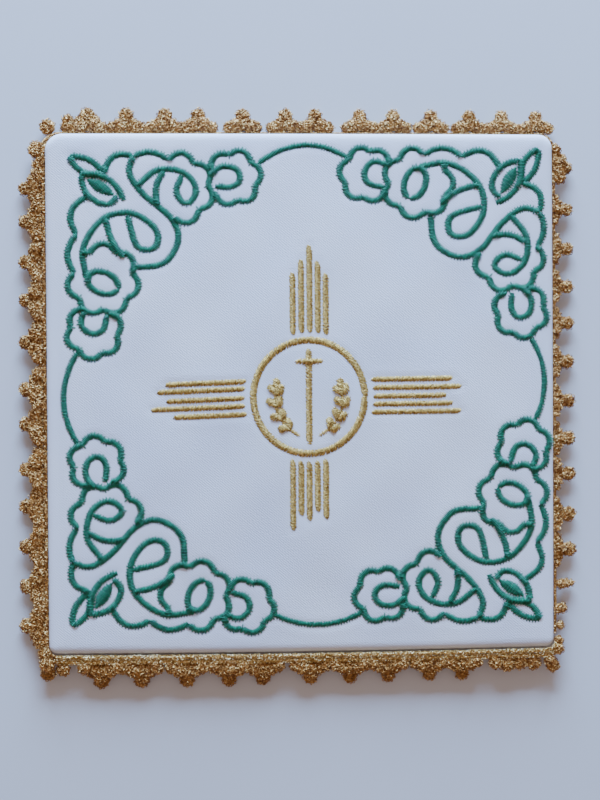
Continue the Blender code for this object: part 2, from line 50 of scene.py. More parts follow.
CAMERA_ASIDE = (-0.7, -2.3)
PALL_TILT = (0.84, 2.83, 0.40)  # degrees about x, y and z, as the lens sees the face
PICTURE_WIDTH = 600
FOCAL_PIXELS = 1430.7
FILM_WIDTH = 36.0

lens = bpy.data.cameras.new("camera")
lens.sensor_fit = "HORIZONTAL"
lens.sensor_width = FILM_WIDTH
lens.lens = FILM_WIDTH * FOCAL_PIXELS / PICTURE_WIDTH
lens.clip_start = 0.01
camera = bpy.data.objects.new("camera", lens)
bpy.context.scene.collection.objects.link(camera)
tilt = Euler([math.radians(angle) for angle in PALL_TILT]).to_matrix().to_4x4()
stand = Matrix.Translation(Vector((*CAMERA_ASIDE, CAMERA_DISTANCE)) * MM)
camera.matrix_world = Matrix.Translation((0, 0, FACE_HEIGHT * MM)) @ tilt.inverted() @ stand
bpy.context.scene.camera = camera

# The embroidered pattern, drawn on the cloth before anything is sewn: a spray of leaves, roses and
# buds for each corner, an arc from spray to spray, and a rayed ring with a cross and two ears.
SPRAYS = (  # spray, its corner in x and y, quarter turns from the upper left, turn in degrees
    ("upper_left", -80.2, 82.1, 0, 0.0),
    ("lower_left", -80.8, -80.2, 1, -1.8),
    ("lower_right", 83.1, -80.6, 2, -2.1),
    ("upper_right", 83.1, 84.7, 3, 0.8),
)
SPRAY_SCALE = 0.98
LINKS = (  # link, its two ends in the sprays, how far it bows out
    ("top", (-15.0, 70.6), (18.0, 71.6), 6.6),
    ("right", (70.4, 20.0), (71.4, -13.0), 6.0),
    ("bottom", (22.0, -67.4), (-11.0, -68.8), 5.0),
    ("left", (-68.6, -18.0), (-68.8, 15.0), 5.8),
)
LINK_CLEARANCE = 0.9  # a link stops this near the stitching of a spray
ROSE_RADIUS = 11.5
ROSE_PETALS = 7
ROSE_SWEEP = 321.0
HALF_ROSE_SWEEP = 205.7
BUD_RADIUS = 9.0
BUD_PETALS = 6
BUD_SWEEP = 300.0
PETAL_DIP = 0.2
PETAL_ROUNDNESS = 0.85
PETAL_STEPS = 14
LEAF_HEART = ((13.6, 15.3), (22.4, 20.6))
STEP = 0.8  # millimetres between the points of a drawn line


def direction(degrees):
    """A step of length 1 in this direction."""
    return math.cos(math.radians(degrees)), math.sin(math.radians(degrees))


def shifted(point, along, distance):
    """A point moved by this distance along a direction."""
    return point[0] + along[0] * distance, point[1] + along[1] * distance


def bowed_line(start, end, bow):
    """A line from start to end that stands to its left by bow at its middle."""
    run = (end[0] - start[0], end[1] - start[1])
    length = math.hypot(*run)
    side = (-run[1] / length, run[0] / length)
    steps = max(4, round(length / STEP))
    shares = [i / steps for i in range(steps + 1)]
    return [shifted(shifted(start, run, t), side, 4 * bow * t * (1 - t)) for t in shares]


def smooth_through(points, steps=8):
    """A smooth line through a few points."""
    ends = [tuple(2 * a - b for a, b in zip(points[i], points[j])) for i, j in ((0, 1), (-1, -2))]
    run = [ends[0], *points, ends[1]]
    line = []
    for i in range(1, len(run) - 2):
        before, here, there, after = (Vector(p) for p in run[i - 1 : i + 3])
        for step in range(steps):
            t = step / steps
            bend = (2 * before - 5 * here + 4 * there - after) * t * t
            bend += (3 * here - before - 3 * there + after) * t**3
            line.append(tuple(0.5 * (2 * here + (there - before) * t + bend)))
    return [*line, points[-1]]


def oval_line(centre, radii, turn):
    """A closed oval whose first radius lies at this turn."""
    along = direction(turn)
    aside = (-along[1], along[0])
    steps = round(2 * math.pi * max(radii) / STEP)
    line = []
    for i in range(steps + 1):
        cos_at, sin_at = direction(360.0 * i / steps)
        line.append(shifted(shifted(centre, along, radii[0] * cos_at), aside, radii[1] * sin_at))
    return line


def petalled_line(centre, radius, petals, start, sweep):
    """A round outline of bulging petals that meet in dips. A dip lies at its start."""
    steps = round(abs(sweep) / 360 * petals) * PETAL_STEPS
    line = []
    for i in range(steps + 1):
        at = sweep * i / steps
        bulge = abs(math.sin(math.radians(at * petals / 2))) ** PETAL_ROUNDNESS
        reach = radius * (1 - PETAL_DIP + PETAL_DIP * bulge)
        line.append(shifted(centre, direction(start + at), reach))
    return line


def spray_lines():
    """The lines of one corner spray, in its own frame: its origin is the spray's outer corner, the
    first number runs along one side of the panel and the second along the other."""
    lines = []
    # The small leaf, the back of the large one, then the shoulders up to the roses.
    for start, end, bow in (
        ((8.1, 8.2), (19.2, 13.8), -1.9),
        ((8.1, 8.2), (19.2, 13.8), 2.5),
        ((11.4, 14.0), (25.4, 22.2), -3.4),
        ((19.2, 13.6), (28.4, 8.2), -3.2),
        ((28.4, 8.2), (39.4, 9.2), -1.9),
        ((13.8, 21.0), (10.4, 33.0), 3.7),
        ((10.4, 33.0), (9.6, 45.2), 2.6),
    ):
        lines.append(bowed_line(start, end, bow))
    leaf_front = ((11.6, 14.2), (13.4, 19.8), (17.8, 23.2), (21.6, 23.1), (23.2, 20.6))
    ribbon = (
        (28.4, 8.2), (27.2, 13.6), (31.8, 20.4), (40.2, 27.6), (42.6, 34.8), (38.0, 42.2),
        (28.8, 43.6),
    )
    scroll = (
        (13.4, 47.0), (12.4, 37.2), (18.6, 28.2), (27.4, 26.2), (35.2, 31.0), (35.4, 37.0),
        (29.6, 37.0), (26.4, 27.0),
    )
    rose_heart = (
        (29.6, 17.4), (36.4, 12.4), (44.6, 13.4), (48.4, 18.8), (45.4, 23.4), (42.0, 19.6),
        (43.8, 14.2),
    )
    bud_curls = (
        ((52.6, 14.2), (56.4, 11.4), (61.2, 12.2), (62.4, 15.8), (59.4, 18.0), (54.4, 17.6)),
        ((12.6, 57.4), (11.4, 61.4), (14.4, 64.6), (18.4, 63.6), (19.8, 58.6)),
    )
    lines += [smooth_through(points) for points in (leaf_front, ribbon, scroll)]
    lines.append(petalled_line((42.6, 18.4), ROSE_RADIUS, ROSE_PETALS, 251, HALF_ROSE_SWEEP))
    lines.append(petalled_line((18.6, 47.4), ROSE_RADIUS, ROSE_PETALS, 193, -ROSE_SWEEP))
    lines.append(smooth_through(rose_heart))
    lines.append(oval_line((18.6, 48.4), (5.2, 3.4), 22))
    lines.append(bowed_line((38.2, 13.0), (36.2, 23.6), 1.6))
    lines.append(bowed_line((19.6, 27.8), (25.4, 40.4), 1.2))
    for centre, start, turn in (((60.2, 14.9), 200, 1), ((15.6, 63.8), 250, -1)):
        lines.append(petalled_line(centre, BUD_RADIUS, BUD_PETALS, start, turn * BUD_SWEEP))
    lines += [smooth_through(points) for points in bud_curls]
    return lines


def place_spray(spray, point):
    """Moves a point of the spray's own frame to the panel's corner that the spray fills."""
    _, corner_x, corner_y, quarters, turn = spray
    cos_turn, sin_turn = direction(-turn)
    a = (point[0] * cos_turn - point[1] * sin_turn) * SPRAY_SCALE
    b = (point[0] * sin_turn + point[1] * cos_turn) * SPRAY_SCALE
    x, y = ((a, -b), (b, a), (-a, b), (-b, -a))[quarters]
    return corner_x + x, corner_y + y


EMBLEM = (2.1, -1.3)
RING_RADII = (17.5, 17.8)
RAY_START = 20.3
RAYS = (  # bundle, its direction in degrees, lean, then each ray's place across and its length
    ("top", 90, 0.0, ((-5.0, 19.2), (-2.3, 22.8), (0.3, 27.2), (2.9, 22.4), (5.4, 19.0))),
    ("right", 0, 0.5, ((-5.2, 25.7), (-2.6, 28.0), (0.1, 23.0), (2.6, 25.2), (5.1, 28.3))),
    ("bottom", -90, 0.0, ((-5.2, 18.7), (-2.6, 15.8), (0.0, 18.5), (2.6, 17.0), (5.2, 22.2))),
    ("left", 180, 2.0, ((-4.7, 22.9), (-2.1, 29.3), (0.4, 24.4), (3.3, 27.4), (5.6, 25.2))),
)
CROSS_SHAFT = (15.2, -15.0)
CROSS_ARM = (11.1, 4.4)  # its height over the ring's middle, and its reach to each side
EAR_STEM = ((2.9, -12.4), (7.4, -9.0), (10.4, -3.4), (10.2, 2.4))
EAR_STEPS = 3
GRAIN_LENGTH = 4.3
GRAIN_ROOT = 0.5  # how far the top grain starts down the stem
GRAIN_SPREAD = 34.0
GRAIN_PAIRS = 4


def ray_lines():
    """Each ray's name and its line."""
    named = []
    for bundle, heading, lean, rays in RAYS:
        out, across = direction(heading + lean), direction(heading + lean - 90)
        for number, (offset, length) in enumerate(rays, 1):
            aside = shifted(EMBLEM, across, offset)
            foot = shifted(aside, out, math.sqrt(RAY_START**2 - offset**2))
            named.append((f"ray_{bundle}_{number}", [foot, shifted(foot, out, length)]))
    return named


def ear_lines(side):
    """An ear's stem, and a line for each of its grains."""
    stem = smooth_through(EAR_STEM, EAR_STEPS)
    grains = []
    for here, there in zip(stem[-2 * GRAIN_PAIRS :: 2], stem[-2 * GRAIN_PAIRS + 1 :: 2]):
        heading = math.degrees(math.atan2(there[1] - here[1], there[0] - here[0]))
        for spread in (GRAIN_SPREAD, -GRAIN_SPREAD):
            grains.append([here, shifted(here, direction(heading + spread), GRAIN_LENGTH)])
    last, before = stem[-1], stem[-2]
    up = direction(math.degrees(math.atan2(last[1] - before[1], last[0] - before[0])))
    grains.append([shifted(last, up, -GRAIN_ROOT), shifted(last, up, GRAIN_LENGTH - GRAIN_ROOT)])
    placed = [[(EMBLEM[0] + side * x, EMBLEM[1] + y) for x, y in line] for line in [stem, *grains]]
    return placed[0], placed[1:]


sprays = {
    spray[0]: [[place_spray(spray, p) for p in line] for line in spray_lines()] for spray in SPRAYS
}
hearts = {spray[0]: [place_spray(spray, p) for p in LEAF_HEART] for spray in SPRAYS}
spray_points = np.array([p for lines in sprays.values() for line in lines for p in line])


def link_line(start, end, bow):
    """The arc between two sprays, from the stitching of one to the other's."""
    line = bowed_line(start, end, bow)
    away = np.linalg.norm(np.array(line)[:, None] - spray_points[None], axis=2).min(1)
    first = last = len(line) // 2
    while first > 0 and away[first] > LINK_CLEARANCE:
        first -= 1
    while last < len(line) - 1 and away[last] > LINK_CLEARANCE:
        last += 1
    return line[first : last + 1]


links = {name: link_line(start, end, bow) for name, start, end, bow in LINKS}

# The cover: bleached cotton twill drawn tight over the stiff square and turned in underneath, so
# its edge is a soft roll. The embroidery draws it in a little along each stitched line.
PANEL_WIDTH = 160.0
PANEL_HEIGHT = 163.0
CORNERS = (  # side in x, side in y, radius
    (1, -1, 2.6),
    (1, 1, 4.5),
    (-1, 1, 5.5),
    (-1, -1, 2.6),
)
LEAST_BEND = 0.3
SIDE_BOW = {"right": 0.1, "top": 0.1, "left": 0.0, "bottom": 0.5}  # out at mid-side
ROLL = (  # height, inset, from the flat of the face down to the underside
    (4.98, 3.3), (4.94, 2.6), (4.86, 1.95), (4.7, 1.35), (4.42, 0.8), (3.95, 0.4), (3.35, 0.13),
    (2.6, 0.0), (1.7, 0.06), (0.9, 0.35), (0.3, 0.85), (0.0, 1.6),
)
FACE_RINGS = 78
FACE_INSET = 4.1
PUCKER_DEPTH = 0.14  # on a stitched line
PUCKER_WIDTH = 1.0
PUCKER_RISE = 0.05  # beside it, where the cloth stands a little proud
PUCKER_RISE_AT = 2.6
PUCKER_RISE_WIDTH = 1.3
CROWN = 1.5
CROWN_BREADTH = 0.5  # less than 1 keeps the crown broad from left to right
SAG_DEPTH = 0.30
SAG_LENGTH = 38.0
SAG_FADE = 16.0
SAG_SWAY = 0.7  # how far a row of sags wanders, in radians
SAG_SWAY_PACE = 0.6  # and how often, beside the sags themselves
SAG_ROW_PACE = 0.8
SAG_ROW_START = 1.3  # radians
CHUNKS = 60  # the points are taken in this many lots, to spare memory


def bow_sides(x, y):
    """Moves points out or in with the side that they lie by, because no side is quite straight."""
    across = np.maximum(0.0, 1 - (2 * x / PANEL_WIDTH) ** 2)
    upright = np.maximum(0.0, 1 - (2 * y / PANEL_HEIGHT) ** 2)
    share_x = np.minimum(1.0, np.abs(2 * x / PANEL_WIDTH))
    share_y = np.minimum(1.0, np.abs(2 * y / PANEL_HEIGHT))
    bow_x = np.where(x > 0, SIDE_BOW["right"], -SIDE_BOW["left"])
    bow_y = np.where(y > 0, SIDE_BOW["top"], -SIDE_BOW["bottom"])
    return x + bow_x * upright * share_x, y + bow_y * across * share_y


def nearest_stitch(points):
    """How far each point lies from the nearest stitched line."""
    drawn = [line for lines in sprays.values() for line in lines] + list(links.values())
    drawn += [oval_line(EMBLEM, RING_RADII, 0), *hearts.values()]
    drawn += [line for _, line in ray_lines()]
    starts = np.array([a for line in drawn for a in line[:-1]])
    runs = np.array([b for line in drawn for b in line[1:]]) - starts
    squares = (runs * runs).sum(1)
    nearest = []
    for chunk in np.array_split(points, CHUNKS):
        offset = chunk[:, None] - starts[None]
        share = np.clip((offset * runs).sum(-1) / squares, 0, 1)
        nearest.append(np.sqrt(((offset - share[..., None] * runs) ** 2).sum(-1)).min(1))
    return np.concatenate(nearest)


def face_height(x, y):
    """The face swells towards its middle, and isn't quite even on the stiff square."""
    inside_x = np.clip(1 - (x / (PANEL_WIDTH / 2 - FACE_INSET)) ** 2, 0, 1)
    inside_y = np.clip(1 - (y / (PANEL_HEIGHT / 2 - FACE_INSET)) ** 2, 0, 1)
    wave = 2 * math.pi / SAG_LENGTH
    hill = np.sin(wave * x + SAG_SWAY * np.sin(wave * SAG_SWAY_PACE * y))
    hill = hill * np.sin(wave * SAG_ROW_PACE * y + SAG_ROW_START)
    inside = np.minimum(PANEL_WIDTH / 2 - np.abs(x), PANEL_HEIGHT / 2 - np.abs(y))
    sag = SAG_DEPTH * (1 - hill) / 2 * np.clip((inside - FACE_INSET) / SAG_FADE, 0, 1)
    return FACE_HEIGHT + CROWN * inside_x**CROWN_BREADTH * inside_y - sag


def cover_mesh():
    """Square rings from the middle of the face out to its roll and down to the underside, whose
    flat face closes it."""
    reach = FACE_RINGS + len(ROLL)
    index = np.arange(-reach, reach + 1)
    column, row = np.meshgrid(index, index, indexing="ij")
    level = np.maximum(np.abs(column), np.abs(row))
    share = np.arange(FACE_RINGS + 1) / FACE_RINGS
    face_insets = PANEL_WIDTH / 2 - (PANEL_WIDTH / 2 - FACE_INSET) * share
    insets = np.array([*face_insets, *[inset for _, inset in ROLL]])
    heights = np.array([*([FACE_HEIGHT] * (FACE_RINGS + 1)), *[height for height, _ in ROLL]])
    half_x = PANEL_WIDTH / 2 - insets[level]
    half_y = half_x * (PANEL_HEIGHT / PANEL_WIDTH)
    outer = level > FACE_RINGS
    half_y = np.where(outer, PANEL_HEIGHT / 2 - insets[level], half_y)
    step = np.maximum(level, 1)
    x, y = half_x * column / step, half_y * row / step
    z = heights[level].astype(float)
    for side_x, side_y, radius in CORNERS:
        bend = np.maximum(radius - insets[level], LEAST_BEND)
        over_x = x * side_x - (half_x - bend)
        over_y = y * side_y - (half_y - bend)
        turned = (over_x > 0) & (over_y > 0) & (level > FACE_RINGS / 2)
        angle = np.where(over_x >= over_y, over_y / bend * 45, 90 - over_x / bend * 45)
        arc_x = side_x * (half_x - bend + bend * np.cos(np.radians(angle)))
        arc_y = side_y * (half_y - bend + bend * np.sin(np.radians(angle)))
        x, y = np.where(turned, arc_x, x), np.where(turned, arc_y, y)
    away = nearest_stitch(np.stack([x.ravel(), y.ravel()], 1)).reshape(x.shape)
    beside = PUCKER_RISE * np.exp(-(((away - PUCKER_RISE_AT) / PUCKER_RISE_WIDTH) ** 2))
    drawn_in = beside - PUCKER_DEPTH * np.exp(-((away / PUCKER_WIDTH) ** 2))
    z = np.where(outer, z, drawn_in + face_height(x, y))
    x, y = bow_sides(x, y)
    points = np.stack([x, y, z], -1).reshape(-1, 3) * MM
    width = 2 * reach + 1
    corner = (index[:-1, None] + reach) * width + (index[None, :-1] + reach)
    faces = np.stack([corner, corner + width, corner + width + 1, corner + 1], -1)
    last = width - 1
    rim = [*range(width), *[k * width + last for k in range(1, width)]]
    rim += [last * width + k for k in range(width - 2, -1, -1)]
    rim += [k * width for k in range(width - 2, 0, -1)]
    mesh = bpy.data.meshes.new("cover_cloth")
    mesh.from_pydata(points.tolist(), [], [*faces.reshape(-1, 4).tolist(), rim])
    return mesh


def linear(code):
    """A colour from its sRGB hex value."""
    parts = [int(code[i : i + 2], 16) / 255 for i in (1, 3, 5)]
    return (*[p / 12.92 if p <= 0.04045 else ((p + 0.055) / 1.055) ** 2.4 for p in parts], 1.0)


def add_node(tree, kind, values=(), links=(), **settings):
    """Adds a node with its settings, its inputs' values and the outputs that feed its inputs."""
    made = tree.nodes.new(kind)
    for name, value in settings.items():
        setattr(made, name, value)
    for socket, value in values:
        made.inputs[socket].default_value = value
    for socket, source in links:
        tree.links.new(source, made.inputs[socket])
    return made


def new_material(name, **sockets):
    """A material whose shader has these values, its tree, its shader and its place on the piece."""
    made = bpy.data.materials.new(name)
    made.use_nodes = True
    shader = made.node_tree.nodes["Principled BSDF"]
    for socket, value in sockets.items():
        shader.inputs[socket.replace("_", " ")].default_value = value
    place = add_node(made.node_tree, "ShaderNodeTexCoord").outputs["Object"]
    return made, made.node_tree, shader, place


def per_metre(size):
    """A pattern's scale from the size of its repeat in millimetres."""
    return 1 / (size * MM)


# Bleached cotton twill, woven: matt, with faint diagonal lines and a soft nap. Where the cloth
# is not pressed quite flat it is a little uneven in the light: its real sags shade it, and its
# colour is painted lighter and darker in broad patches as well, which is painted shade.
TWILL_PITCH = 0.62  # a real twill line is 0.4 mm from the next, which the picture can't show
TWILL_ANGLE = -50.0
NAP_SIZE = 0.5  # real nap is a few hundredths of a millimetre, far too fine to show
PAINTED_SHADE_SIZE = 38.0

cotton_twill, tree, shader, place = new_material("cotton_twill", Roughness=0.86, Sheen_Weight=0.1)
# Painted shade: the cloth's colour goes a little lighter and darker in broad patches.
painted_shade_noise = add_node(
    tree,
    "ShaderNodeTexNoise",
    [("Scale", per_metre(PAINTED_SHADE_SIZE)), ("Detail", 2.0)],
    [("Vector", place)],
)
painted_shade_tint = add_node(tree, "ShaderNodeValToRGB", links=[("Fac", painted_shade_noise.outputs["Fac"])])
for stop, at, colour in zip(painted_shade_tint.color_ramp.elements, (0.35, 0.65), ("#DCE3F4", "#E7ECF7")):
    stop.position, stop.color = at, linear(colour)
tree.links.new(painted_shade_tint.outputs["Color"], shader.inputs["Base Color"])
turned = add_node(
    tree,
    "ShaderNodeMapping",
    [("Rotation", (0, 0, math.radians(TWILL_ANGLE)))],
    [("Vector", place)],
)
twill_scale = math.pi / 10 * per_metre(TWILL_PITCH)
twill = add_node(
    tree,
    "ShaderNodeTexWave",
    [("Scale", twill_scale), ("Distortion", 1.6), ("Detail", 2.0), ("Detail Scale", 1.2)],
    [("Vector", turned.outputs["Vector"])],
)
fibre = add_node(
    tree,
    "ShaderNodeTexNoise",
    [("Scale", per_metre(NAP_SIZE)), ("Detail", 3.0)],
    [("Vector", place)],
)
lines = add_node(
    tree,
    "ShaderNodeBump",
    [("Strength", 0.55), ("Distance", 0.06 * MM)],
    [("Height", twill.outputs["Fac"])],
)
nap = add_node(
    tree,
    "ShaderNodeBump",
    [("Strength", 1.0), ("Distance", 0.14 * MM)],
    [("Height", fibre.outputs["Fac"]), ("Normal", lines.outputs["Normal"])],
)
tree.links.new(nap.outputs["Normal"], shader.inputs["Normal"])


def make_piece(name, mesh, material, slot, *nodes):
    """A finished piece: smooth, in its material, riding with the pall in place of these solids."""
    mesh.name = name
    mesh.materials.append(material)
    mesh.shade_smooth()
    piece = bpy.data.objects.new(name, mesh)
    bpy.context.scene.collection.objects.link(piece)
    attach(piece, "root")
    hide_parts(*nodes)
    return piece


cover = make_piece("cover_cloth", cover_mesh(), cotton_twill, "white_twill", "cover")

# The green embroidery: rayon thread in satin stitch, each stitch laid right across the line and
# pulled into the cloth at both ends. Where two lines cross, the later one lies on the earlier.
GREEN_STITCHES = (0.44, 0.42, 0.2, 0.15, 0.1)  # pitch, thread, long and short, unevenness, slant
GREEN_WIDTH = 2.25
LINK_WIDTH = 2.0
HEART_WIDTH = 4.2
HEART_TIP = 0.5
STITCH_BASE = 0.12
STITCH_ARCH = 0.14
USUAL_STITCH = 2.0  # a stitch this wide has that arch, and a wider one more, but at most
MOST_ARCH = 2.0  # times as much
STITCH_ROOT = 0.06  # how far below the full face its ends go in
STITCH_SECTIONS = ((0.07, 0.55), (0.5, 1.0), (0.93, 0.55))  # place across, share of the arch
THREAD_HEIGHT = 0.16
ARCH_SPREAD = (0.9, 1.1)
SLANT_SPREAD = (0.5, 1.5)
END_TAPER = 0.9  # over this length a line grows to its width from
END_SHARE = 0.6  # this share of it
CROSSING_RISE = 0.26
CROSSING_REACH = 1.9  # a line starts to rise this far from an earlier one's stitches,
CROSSING_SLOPE = 0.6  # and is up after this length
RUN_REACH = 0.5  # how far ahead and behind its direction is taken


def even_points(line, pitch):
    """Points at an even pitch along a line, with its direction at each, and their shares of it."""
    line = np.array(line, float)
    lengths = np.concatenate([[0], np.cumsum(np.linalg.norm(np.diff(line, axis=0), axis=1))])
    count = max(2, round(lengths[-1] / pitch))
    at = (np.arange(count) + 0.5) * lengths[-1] / count
    behind, points, ahead = (
        np.stack([np.interp(at + shift, lengths, line[:, k]) for k in (0, 1)], 1)
        for shift in (-RUN_REACH, 0.0, RUN_REACH)
    )
    run = ahead - behind
    return points, run / np.linalg.norm(run, axis=1)[:, None], at / lengths[-1]


def satin_stitches(strips, chance, pitch, thread, swing, unevenness, slant):
    """The mesh of all the stitches of these strips, each strip a line and a width that may be a
    function of the share of the line's length. A stitch is a closed arch with pointed ends."""
    points, faces, laid = [], [], np.zeros((0, 2))
    for line, width in strips:
        middles, runs, shares = even_points(line, pitch)
        if len(laid):
            gaps = np.linalg.norm(middles[:, None] - laid[None], axis=2).min(1)
            rises = CROSSING_RISE * np.clip((CROSSING_REACH - gaps) / CROSSING_SLOPE, 0, 1)
        else:
            rises = np.zeros(len(middles))
        laid = np.concatenate([laid, middles])
        for number, (middle, run, share, rise) in enumerate(zip(middles, runs, shares, rises)):
            across = Vector((-run[1], run[0], 0))
            along = Vector((run[0], run[1], 0))
            full = width(share) if callable(width) else width
            from_end = min(number, len(middles) - 1 - number)
            full *= min(1.0, END_SHARE + (1 - END_SHARE) * pitch * from_end / END_TAPER)
            longer = full / 2 + (swing if number % 2 else -swing)
            reach = [longer + chance.uniform(-unevenness, unevenness) for _ in range(2)]
            lean = slant * chance.uniform(*SLANT_SPREAD) * full / 4
            left = Vector((*middle, 0)) - across * reach[0] - along * lean
            right = Vector((*middle, 0)) + across * reach[1] + along * lean
            arch = STITCH_ARCH * min(MOST_ARCH, full / USUAL_STITCH)
            arch = arch * (1.0 + swing * (number % 2)) * chance.uniform(*ARCH_SPREAD)
            first = len(points)
            root = float(face_height(*middle)) - STITCH_ROOT
            points.append((*left.xy, root))
            for place_across, height in STITCH_SECTIONS:
                centre = left.lerp(right, place_across)
                top = root + rise + STITCH_BASE + arch * height
                half = thread / 2
                for side, drop in ((-half, THREAD_HEIGHT), (0.0, 0.0), (half, THREAD_HEIGHT)):
                    points.append((*(centre + along * side).xy, top - drop))
            points.append((*right.xy, root))
            last = len(points) - 1
            for k in range(3):
                near, far = first + 1 + k, first + 1 + (k + 1) % 3
                faces.append((first, near, far))
                for section in range(2):
                    a, b = near + 3 * section, far + 3 * section
                    faces.append((a, a + 3, b + 3, b))
                faces.append((last, far + 6, near + 6))
    mesh = bpy.data.meshes.new("stitches")
    mesh.from_pydata([tuple(c * MM for c in p) for p in points], [], faces)
    return mesh


# Rayon embroidery thread, twisted and dyed green: a soft silky sheen, a little uneven in its dye
# and deeper between the stitches.
FLECK_SIZE = 0.9

green_rayon, tree, shader, place = new_material("green_rayon", Roughness=0.5)
fleck = add_node(
    tree,
    "ShaderNodeTexNoise",
    [("Scale", per_metre(FLECK_SIZE)), ("Detail", 3.0)],
    [("Vector", place)],
)
dye = add_node(tree, "ShaderNodeValToRGB", links=[("Fac", fleck.outputs["Fac"])])
for stop, at, colour in zip(dye.color_ramp.elements, (0.3, 0.7), ("#0A4934", "#1A8A66")):
    stop.position, stop.color = at, linear(colour)
tree.links.new(dye.outputs["Color"], shader.inputs["Base Color"])


def leaf_width(share):
    """The heart of a leaf is widest at its middle and comes to a point at each end."""
    return max(HEART_TIP, HEART_WIDTH * 4 * share * (1 - share))


chance = random.Random(41)


def sew(name, strips, stitches, thread, slot):
    """The stitches that stand for the solid of this name."""
    mesh = satin_stitches(strips, chance, *stitches)
    make_piece(f"{name}_stitches", mesh, thread, slot, name)


for corner, lines in sprays.items():
    strips = [(hearts[corner], leaf_width), *[(line, GREEN_WIDTH) for line in lines]]
    sew(f"spray_{corner}", strips, GREEN_STITCHES, green_rayon, "green_stitching")
for side, line in links.items():
    sew(f"link_{side}", [(line, LINK_WIDTH)], GREEN_STITCHES, green_rayon, "green_stitching")

# The emblem: gold thread in the same stitch, narrower and closer, its ring and shaft the fullest.
# Rays, ring, cross and ears are worked one by one.
GOLD_STITCHES = (0.5, 0.55, 0.08, 0.08, 0.8)  # pitch, thread, long and short, unevenness, slant
RING_WIDTH = 2.4
RAY_WIDTHS = {"top": 2.1, "right": 1.8, "bottom": 2.1, "left": 1.8}
SHAFT_WIDTH = 2.3
ARM_WIDTH = 1.9
EAR_STEM_WIDTH = 1.35
GRAIN_WIDTH = 2.6
GRAIN_TIP = 0.4
GRAIN_TAPER = 0.8

# Metallised film wound round a thread core: yellow gold with a metal sheen. Its colour is painted
# bright and dark cell by cell: painted glints where a flat of film would face the light, and
# painted shade between.
PAINTED_GLINT_SIZE = 0.42  # the film is about 0.3 mm wide, drawn coarser to show

gold_thread, tree, shader, place = new_material("gold_thread", Metallic=0.4, Roughness=0.4)
flat = add_node(
    tree, "ShaderNodeTexVoronoi", [("Scale", per_metre(PAINTED_GLINT_SIZE))], [("Vector", place)]
)
# Painted glints and painted shade: each cell of film is coloured from dark to bright.
gilt = add_node(tree, "ShaderNodeValToRGB", links=[("Fac", flat.outputs["Color"])])
for stop, at, colour in zip(gilt.color_ramp.elements, (0.1, 0.9), ("#8E651E", "#F7D680")):
    stop.position, stop.color = at, linear(colour)
tree.links.new(gilt.outputs["Color"], shader.inputs["Base Color"])


def grain_width(share):
    """A grain is fullest below its middle and comes to a point."""
    return max(GRAIN_TIP, GRAIN_WIDTH * 4 * share * (1 - share) ** GRAIN_TAPER)


gold_strips = {name: [(line, RAY_WIDTHS[name.split("_")[1]])] for name, line in ray_lines()}
gold_strips["emblem_ring"] = [(oval_line(EMBLEM, RING_RADII, 0), RING_WIDTH)]
arm_height, arm_reach = CROSS_ARM
gold_strips["emblem_cross"] = [
    ([shifted(EMBLEM, (0, 1), y) for y in CROSS_SHAFT], SHAFT_WIDTH),
    ([(EMBLEM[0] + x, EMBLEM[1] + arm_height) for x in (-arm_reach, arm_reach)], ARM_WIDTH),
]
for side_name, side in (("left", -1), ("right", 1)):
    stem, grains = ear_lines(side)
    strips = [(stem, EAR_STEM_WIDTH), *[(line, grain_width) for line in grains]]
    gold_strips[f"emblem_ear_{side_name}"] = strips
for name, strips in gold_strips.items():
    sew(name, strips, GOLD_STITCHES, gold_thread, "gold_stitching")

# The edging: crocheted gilt yarn, in one length sewn round the rim. Its heading is rows of tight
# stitches against the cloth, and each picot is a cluster of knobs with one at its tip. All of it is
# small loops of yarn.
RIGHT_KNOBS = (  # along the heading, out from it, radius
    (0.0, 0.4, 1.8),
    (-2.3, 0.3, 1.7),
    (2.3, 0.3, 1.7),
    (-4.4, -0.1, 1.2),
    (4.4, -0.1, 1.2),
    (0.0, 2.2, 2.1),
    (0.0, 4.1, 2.4),
)
TOP_KNOBS = (
    (-4.3, 0.7, 2.0),
    (4.3, 0.7, 2.0),
    (-2.1, 1.3, 2.4),
    (2.1, 1.3, 2.4),
    (0.0, 1.8, 2.3),
    (0.0, 3.2, 2.1),
    (0.0, 4.5, 2.4),
)
LEFT_KNOBS = (
    (-4.5, 0.0, 2.0),
    (4.5, 0.0, 2.0),
    (-2.4, 0.7, 2.3),
    (2.4, 0.7, 2.3),
    (0.0, 1.1, 2.4),
    (0.0, 2.5, 2.1),
    (0.0, 3.7, 2.2),
)
BOTTOM_KNOBS = (
    (-4.4, 0.9, 1.8),
    (4.4, 0.9, 1.8),
    (-2.3, 1.6, 2.1),
    (2.3, 1.6, 2.1),
    (0.0, 1.6, 2.0),
    (0.0, 3.0, 2.3),
    (0.0, 4.6, 2.1),
)
